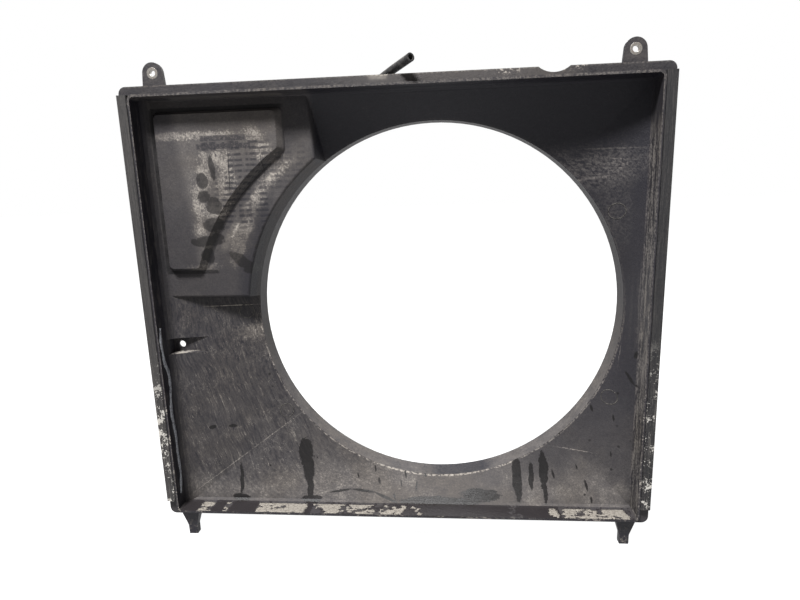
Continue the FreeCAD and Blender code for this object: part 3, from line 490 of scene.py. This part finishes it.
    # light line along the inner front edge of the side walls: wear and painted highlight
    inner_edge_wear_and_highlight = g.ramp(g.m("ABSOLUTE", g.m("SUBTRACT", g.m("ABSOLUTE", g.x), 324.2)), 0.9, 0.3)
    rim_d = g.add(rim_d, g.mul(inner_edge_wear_and_highlight, g.ramp(n3, 0.40, 0.56), 0.34))
    rim_d = g.lerp(g.ramp(g.z, -45.0, -35.0), rim_d, g.add(0.10, g.mul(g.ramp(n3, 0.4, 0.62), 0.34)))
    d = g.lerp(rim, d, rim_d)
    flange = g.mul(front, g.ramp(g.y, -1.0, 0.1), g.ramp(g.y, 1.4, 0.6))
    top_fl = g.mul(flange, g.ramp(g.z, -28.0, -24.0))
    worn_x = g.mul(g.ramp(g.x, -110.0, 0.0), g.ramp(g.x, 250.0, 190.0))
    scuff = g.mx(g.mul(g.slab(w, 132, 160, -20, -14, 5), g.ramp(g.add(n3, c["2"]), 0.50, 0.62)),
                 g.mul(g.slab(w, 206, 246, -20, -14, 5), g.ramp(g.add(n3, c["2"]), 0.55, 0.66)),
                 g.mul(g.slab(w, -22, 2, -21, -12, 6), 0.5))
    fl_d = g.add(0.10, g.add(g.mul(worn_x, 0.16), g.add(g.mul(c["2"], 0.18), g.mul(c["3"], 0.22))))
    d = g.lerp(flange, d, g.add(g.lerp(g.ramp(g.z, -28.0, -24.0), 0.10, fl_d), g.mul(top_fl, g.mul(scuff, 0.55))))
    # light line along the flange's top edge: wear and painted highlight
    flange_edge_wear_and_highlight = g.mul(top_fl, g.ramp(g.m("ABSOLUTE", g.m("ADD", g.z, 15.2)), 1.1, 0.4), g.ramp(n3, 0.42, 0.55))
    d = g.add(d, g.mul(flange_edge_wear_and_highlight, 0.25))
    ear = g.mul(g.ramp(g.z, -12.0, -9.0), front)
    d = g.lerp(ear, d, g.add(0.13, g.add(g.mul(c["2"], 0.3), g.mul(c["3"], 0.35))))
    # legs
    leg = g.ramp(g.z, -606.0, -610.0)
    d = g.lerp(leg, d, g.add(g.mul(g.ramp(g.add(n3, g.mul(c["2"], 0.8)), 0.50, 0.72), 0.20),
                             g.mul(g.ramp(g.add(n4, g.mul(c["3"], 0.6)), 0.60, 0.68), g.ramp(g.z, -618.0, -640.0), 0.5)))
    # back and outside
    out_d = g.add(0.11, g.add(g.mul(c["1"], 0.25), g.add(g.mul(c["2"], 0.25), g.mul(c["3"], 0.15))))
    out_d = g.add(out_d, g.mul(upward, g.ramp(n2, 0.35, 0.6), 0.28))
    d = g.lerp(back, d, out_d)
    d = g.sat(d)

    tone = g.mix(g.ramp(n1, 0.35, 0.65), DUST, tuple(v * k for v, k in zip(DUST, (0.93, 0.96, 1.03))))
    tone = g.mix(g.ramp(d, 0.35, 0.75), tone, PALE)
    # painted shade in the groove: dust taken out there and the colour pulled to near black
    d = g.mul(d, g.m("SUBTRACT", 1.0, g.mul(groove_painted_shade, 0.9)))
    colour = g.mix(d, g.mix(g.mx(wet, groove_painted_shade), BLACK, WET_AND_GROOVE_SHADE), tone)
    colour = g.mix(g.mul(groove_painted_shade, 0.6), colour, (0.0028, 0.0026, 0.0032))
    colour = g.mix(g.mul(floor_, g.m("SUBTRACT", 1.0, caked), 0.6), colour, (0.0145, 0.0118, 0.0112))
    rough = g.lerp(g.sat(g.mul(d, 2.2)), g.lerp(wet, 0.52, 0.42), 0.88)
    h = g.add(g.noise(p, 0.9, 3, 0.65), g.mul(g.noise(p, 0.13, 2, 0.6), 1.4))
    return g.finish(colour, rough, g.bump(h, 0.42, 0.75), spec=0.20)


def seal_material():
    g = Net("seal_sponge_worn")
    p = g.p
    ws = g.wobble(p, 1.2, 0.2, 3.0)
    n2 = g.noise(p, 0.06, 3, 0.6)
    n3 = g.noise(p, 0.42, 3, 0.65)
    along = g.noise(g.map(ws, (1.0, 2, 34), kind="TEXTURE"), 1.0, 3, 0.65)
    low = g.ramp(g.z, -330.0, -470.0)
    is_right = g.ramp(g.x, -10.0, 10.0)
    film = g.add(g.lerp(is_right, 0.13, 0.05), g.mul(g.ramp(along, 0.45, 0.75), g.lerp(low, 0.12, 0.42)))
    film = g.add(film, g.mul(g.m("SUBTRACT", n3, 0.5), g.lerp(low, 0.14, 0.32)))
    torn = g.mul(g.ramp(g.add(n3, g.mul(g.m("SUBTRACT", n2, 0.5), 1.2)), 0.60, 0.65), g.lerp(low, 0.0, 1.0))
    scored = g.ramp(g.noise(g.map(ws, (0.55, 2, 60), kind="TEXTURE"), 1.0, 1, 0.5), 0.60, 0.66)
    film = g.sat(g.mul(film, g.m("SUBTRACT", 1.0, g.mul(scored, 0.7))))
    colour = g.mix(film, (0.0105, 0.0105, 0.0120), (0.150, 0.138, 0.126))
    colour = g.mix(torn, colour, (0.30, 0.285, 0.262))
    h = g.add(g.mul(g.noise(p, 1.2, 3, 0.7), 0.8), g.add(g.mul(along, 0.7), g.mul(torn, 0.8)))
    return g.finish(colour, 0.86, g.bump(h, 0.5, 0.8), spec=0.15)


def steel_material():
    g = Net("sleeve_steel_dull")
    n = g.noise(g.p, 0.6, 4, 0.6)
    fine = g.noise(g.p, 2.4, 3, 0.7)
    rust = g.ramp(g.add(n, g.mul(g.m("SUBTRACT", fine, 0.5), 0.6)), 0.46, 0.66)
    return g.finish(g.mix(rust, (0.36, 0.345, 0.32), (0.075, 0.052, 0.038)),
                    g.lerp(rust, 0.34, 0.75), g.bump(fine, 0.08), metallic=g.lerp(rust, 0.95, 0.35))


def hose_material():
    g = Net("hose_rubber_dusty")
    n = g.noise(g.p, 0.12, 4, 0.6)
    top = g.ramp(g.nz, 0.1, 0.9)
    dust = g.add(g.mul(g.ramp(n, 0.42, 0.8), 0.35), g.mul(top, 0.22))
    return g.finish(g.mix(dust, (0.010, 0.0098, 0.0105), (0.15, 0.138, 0.126)),
                    g.lerp(n, 0.45, 0.75), g.bump(g.noise(g.p, 0.9, 3), 0.12), spec=0.3)


M_SHELL, M_SEAL, M_STEEL, M_HOSE = shell_material(), seal_material(), steel_material(), hose_material()
LOOKS = {"shroud_shell": M_SHELL, "side_seal_left": M_SEAL, "side_seal_right": M_SEAL,
         "ear_sleeve_left": M_STEEL, "ear_sleeve_right": M_STEEL, "overflow_hose": M_HOSE}
for name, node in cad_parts.items():
    node.data.materials.clear()
    node.data.materials.append(LOOKS[name])

# ------------------------------------------------------------ small pieces
def mark_material(name, pale, dark, lo, hi, rough):
    g = Net(name)
    n = g.noise(g.p, 0.35, 4, 0.65)
    return g.finish(g.mix(g.ramp(n, lo, hi), pale, dark), g.lerp(n, rough - 0.08, rough + 0.08),
                    g.bump(g.noise(g.p, 0.8, 3), 0.2, 0.7), spec=0.2)


def new_piece(name, verts, faces, material):
    mesh = bpy.data.meshes.new(name)
    mesh.from_pydata(verts, [], faces)
    bm = bmesh.new()
    bm.from_mesh(mesh)
    bmesh.ops.recalc_face_normals(bm, faces=bm.faces)
    bm.to_mesh(mesh)
    bm.free()
    for poly in mesh.polygons:
        poly.use_smooth = True
    mesh.materials.append(material)
    o = bpy.data.objects.new(name, mesh)
    scene.collection.objects.link(o)
    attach(o, "root")
    return o


shell_tree = None


def surface(x, z, start=-120.0):
    """Where a line along +Y from the front first meets the shell: its point and normal, in millimetres."""
    global shell_tree
    if shell_tree is None:
        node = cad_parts["shroud_shell"]
        bm = bmesh.new()
        bm.from_mesh(node.data)
        bm.transform(node.matrix_world)
        shell_tree = BVHTree.FromBMesh(bm)
        bm.free()
    hit, normal, _, _ = shell_tree.ray_cast(Vector((x, start, z)) * MM, Vector((0, 1, 0)))
    return hit / MM, normal


def tube_on(points, normals, half_w, lift, sink, closed, sides=10):
    """A low rounded rib along points, half_w each side, standing lift above the surface and sunk into it."""
    n = len(points)
    verts, faces = [], []
    for i in range(n):
        a = points[(i - 1) % n] if closed or i > 0 else points[i]
        b = points[(i + 1) % n] if closed or i < n - 1 else points[i]
        along = (b - a).normalized()
        out = (normals[i] - along * normals[i].dot(along)).normalized()
        across = along.cross(out)
        wd = half_w[i] if isinstance(half_w, list) else half_w
        for k in range(sides):
            t = 2 * math.pi * k / sides
            up_ = math.sin(t)
            verts.append((points[i] + across * math.cos(t) * wd + out * (up_ * (lift if up_ > 0 else sink))) * MM)
    rings = n if closed else n - 1
    for i in range(rings):
        for k in range(sides):
            a, b = i * sides + k, i * sides + (k + 1) % sides
            c, d = ((i + 1) % n) * sides + (k + 1) % sides, ((i + 1) % n) * sides + k
            faces.append((a, b, c, d))
    if not closed:
        faces.append(tuple(range(sides)))
        faces.append(tuple((n - 1) * sides + k for k in reversed(range(sides))))
    return verts, faces


M_RING = mark_material("witness_ring_dusty", (0.052, 0.048, 0.043), (0.016, 0.0150, 0.0145), 0.42, 0.60, 0.8)
for k, (cx, cz) in enumerate(((291.9, -188.0), (292.9, -444.0), (-168.4, -467.5), (-215.2, -316.0)), 1):
    pts, nrm = [], []
    for i in range(64):
        t = 2 * math.pi * i / 64
        p_, n_ = surface(cx + 10.0 * math.cos(t), cz + 10.0 * math.sin(t))
        pts.append(p_)
        nrm.append(n_)
    new_piece("mould_ring_%d" % k, *tube_on(pts, nrm, 0.55, 0.35, 0.3, True), M_RING)

M_BEAD = mark_material("wall_bead_grey", (0.185, 0.190, 0.205), (0.060, 0.061, 0.066), 0.42, 0.70, 0.7)
route = [(1.1, -328.8), (-1.0, -352.0), (2.1, -377.3), (9.6, -396.9), (10.5, -416.4), (6.2, -437.9), (5.0, -456.8),
         (8.6, -488.4), (8.2, -513.1), (9.4, -539.3), (8.6, -559.4), (2.8, -580.8)]
pts, half = [], []
for i in range(len(route) - 1):
    q = [route[max(i - 1, 0)], route[i], route[i + 1], route[min(i + 2, len(route) - 1)]]
    for j in range(8):
        t = j / 8
        y_, z_ = (0.5 * (2 * q[1][a] + (q[2][a] - q[0][a]) * t + (2 * q[0][a] - 5 * q[1][a] + 4 * q[2][a] - q[3][a]) * t * t
                         + (3 * q[1][a] - q[0][a] - 3 * q[2][a] + q[3][a]) * t ** 3) for a in (0, 1))
        pts.append(Vector((-323.5, min(y_ + 0.9 * noise.noise(Vector((0, 3.1, z_ * 0.09))), 10.0), z_)))
        half.append(3.0 + 1.9 * noise.noise(Vector((1.7, 0.4, z_ * 0.11))))
for i in range(6):
    half[i] *= 0.35 + 0.11 * i
    half[-1 - i] *= 0.35 + 0.11 * i
new_piece("wall_bead", *tube_on(pts, [Vector((1, 0, 0))] * len(pts), half, 1.5, 0.5, False, 12), M_BEAD)

# dried mud in thin ragged plates on the upper face of the lower wall
def crust_material():
    g = Net("dried_mud_crust")
    n = g.noise(g.p, 0.22, 4, 0.65)
    fine = g.noise(g.p, 0.9, 3, 0.7)
    crack = g.ramp(g.cells(g.wobble(g.p, 1.0, 0.3), 0.16, "DISTANCE_TO_EDGE"), 0.05, 0.015)
    stain = g.ramp(g.add(n, g.mul(g.m("SUBTRACT", fine, 0.5), 0.7)), 0.52, 0.85)
    colour = g.mix(stain, (0.165, 0.150, 0.131), (0.074, 0.065, 0.056))
    colour = g.mix(g.mul(crack, 0.45), colour, (0.030, 0.026, 0.022))
    h = g.add(g.mul(fine, 0.8), g.mul(crack, -0.9))
    return g.finish(colour, g.lerp(n, 0.82, 0.95), g.bump(h, 0.4, 0.8), spec=0.15)


CAKED = [(-299, -275, 0.98), (-262, -250, 0.90), (-212, -138, 1.06), (-131, 8, 0.90), (14, 34, 0.66),
         (206, 222, 0.74), (226, 316, 0.88)]


def crust():
    step, x0, y0 = 1.6, -322.0, -5.6
    first, _, _, _ = shell_tree.ray_cast(Vector((-100.3, 1.3, -580.0)) * MM, Vector((0, 0, -1)))
    floor_z = first.z / MM
    print("lower wall's upper face at", round(floor_z, 2))
    nx, ny = 399, 14
    filled = set()
    for i in range(nx):
        x = x0 + (i + 0.5) * step
        reach = 0.0
        for a, b, k in CAKED:
            reach = max(reach, k * min(1.0, max(0.0, (x - a + 4) / 8)) * min(1.0, max(0.0, (b + 4 - x) / 8)))
        if reach == 0:
            continue
        for j in range(ny):
            y = y0 + (j + 0.5) * step
            n = (0.55 * noise.noise(Vector((x * 0.055, y * 0.075, 3.7))) + 0.35 * noise.noise(Vector((x * 0.16, y * 0.2, 9.1)))
                 + 0.20 * noise.noise(Vector((x * 0.42, y * 0.45, 1.3))))
            if reach * 0.52 + n * 0.55 - 0.10 * max(0.0, (y - 18) / 10) > 0.40:
                filled.add((i, j))
    while True:
        clash = [(i, j) for i, j in filled
                 if ((i + 1, j + 1) in filled and (i + 1, j) not in filled and (i, j + 1) not in filled)
                 or ((i + 1, j - 1) in filled and (i + 1, j) not in filled and (i, j - 1) not in filled)]
        if not clash:
            break
        filled -= set(clash)
    kept, left = set(), set(filled)
    while left:
        heap, group = [left.pop()], set()
        while heap:
            c = heap.pop()
            group.add(c)
            for d in ((1, 0), (-1, 0), (0, 1), (0, -1)):
                q = (c[0] + d[0], c[1] + d[1])
                if q in left:
                    left.remove(q)
                    heap.append(q)
        if len(group) >= 6:
            kept |= group
    verts, top, low, faces = [], {}, {}, []

    def corner(i, j):
        if (i, j) in top:
            return
        x, y = x0 + i * step, y0 + j * step
        x += 0.45 * step * noise.noise(Vector((i * 0.7, j * 0.7, 5.5)))
        y += 0.45 * step * noise.noise(Vector((i * 0.7, j * 0.7, 8.5))) if j else 0.0
        z = floor_z
        for off in (0.0, 0.07, -0.07, 0.19):
            hit, _, _, _ = shell_tree.ray_cast(Vector((x + off, y + off, floor_z + 20.0)) * MM, Vector((0, 0, -1)))
            if hit is not None and abs(hit.z / MM - floor_z) < 12.0:
                z = hit.z / MM
                break
        around = sum((a, b) in kept for a in (i - 1, i) for b in (j - 1, j))
        thick = 0.45 + 0.5 * (0.5 + 0.5 * noise.noise(Vector((x * 0.09, y * 0.12, 2.2)))) if around == 4 else 0.22
        top[i, j], low[i, j] = len(verts), len(verts) + 1
        verts.extend([Vector((x, y, z + thick)) * MM, Vector((x, y, z - 0.25)) * MM])

    for i, j in sorted(kept):
        for a in (i, i + 1):
            for b in (j, j + 1):
                corner(a, b)
        ring = [(i, j), (i + 1, j), (i + 1, j + 1), (i, j + 1)]
        faces.append(tuple(top[c] for c in ring))
        faces.append(tuple(low[c] for c in reversed(ring)))
        for k, (di, dj) in enumerate(((0, -1), (1, 0), (0, 1), (-1, 0))):
            if (i + di, j + dj) not in kept:
                a, b = ring[k], ring[(k + 1) % 4]
                faces.append((low[a], low[b], top[b], top[a]))
    return verts, faces


new_piece("dried_mud", *crust(), crust_material())

# ------------------------------------------------------------------ studio
world = bpy.data.worlds.new("studio")
world.use_nodes = True
wt = world.node_tree
wt.nodes["Background"].inputs[0].default_value = (1, 1, 1, 1)
side = wt.nodes.new("ShaderNodeTexCoord")
part_y = wt.nodes.new("ShaderNodeSeparateXYZ")
fall = wt.nodes.new("ShaderNodeMapRange")
fall.interpolation_type = "SMOOTHSTEP"
for name, val in (("From Min", -0.35), ("From Max", 0.20), ("To Min", 0.36), ("To Max", 1.0)):
    fall.inputs[name].default_value = val
wt.links.new(side.outputs["Generated"], part_y.inputs[0])
wt.links.new(part_y.outputs[1], fall.inputs["Value"])
seen = wt.nodes.new("ShaderNodeLightPath")
pick = wt.nodes.new("ShaderNodeMix")
pick.inputs["B"].default_value = 1.0
wt.links.new(seen.outputs["Is Camera Ray"], pick.inputs["Factor"])
wt.links.new(fall.outputs[0], pick.inputs["A"])
wt.links.new(pick.outputs[0], wt.nodes["Background"].inputs[1])
scene.world = world


def area(name, where, target, size, power, colour=(1, 1, 1)):
    data = bpy.data.lights.new(name, "AREA")
    data.shape, data.size, data.energy, data.color = "DISK", size, power, colour
    o = bpy.data.objects.new(name, data)
    scene.collection.objects.link(o)
    o.location = where
    o.rotation_euler = (Vector(target) - Vector(where)).to_track_quat("-Z", "Y").to_euler()
    return o


aim = Vector((0.0, 0.0, -0.30))
toward = Vector((-0.40, -1.0, 1.86)).normalized()
area("key", aim + toward * 3.6, aim, 0.75, 480.0)

area("back", aim + Vector((0.9, 2.2, 1.7)), aim, 1.6, 55.0)

floor_mesh = bpy.data.meshes.new("floor")
s = 12.0
zf = cad_box[0][2]
floor_mesh.from_pydata([(-s, -s, zf), (s, -s, zf), (s, s, zf), (-s, s, zf)], [], [(0, 1, 2, 3)])
floor = bpy.data.objects.new("floor", floor_mesh)
scene.collection.objects.link(floor)
fm = bpy.data.materials.new("pale_floor")
fm.use_nodes = True
t = fm.node_tree
t.nodes.clear()
o_, a_, e_, d_ = (t.nodes.new(k) for k in ("ShaderNodeOutputMaterial", "ShaderNodeAddShader", "ShaderNodeEmission", "ShaderNodeBsdfDiffuse"))
e_.inputs[0].default_value = (1, 1, 1, 1)
fg = t.nodes.new("ShaderNodeNewGeometry")
fs = t.nodes.new("ShaderNodeSeparateXYZ")
fr = t.nodes.new("ShaderNodeMapRange")
fr.interpolation_type = "SMOOTHSTEP"
for name, val in (("From Min", -1.0), ("From Max", -0.12), ("To Min", 0.32), ("To Max", 0.93)):
    fr.inputs[name].default_value = val
t.links.new(fg.outputs["Position"], fs.inputs[0])
t.links.new(fs.outputs[1], fr.inputs["Value"])
fp, fm_ = t.nodes.new("ShaderNodeLightPath"), t.nodes.new("ShaderNodeMix")
fm_.inputs["B"].default_value = 0.93
t.links.new(fp.outputs["Is Camera Ray"], fm_.inputs["Factor"])
t.links.new(fr.outputs[0], fm_.inputs["A"])
t.links.new(fm_.outputs[0], e_.inputs[1])
d_.inputs[0].default_value = (0.12, 0.12, 0.12, 1)
t.links.new(e_.outputs[0], a_.inputs[0])
t.links.new(d_.outputs[0], a_.inputs[1])
t.links.new(a_.outputs[0], o_.inputs[0])
floor_mesh.materials.append(fm)
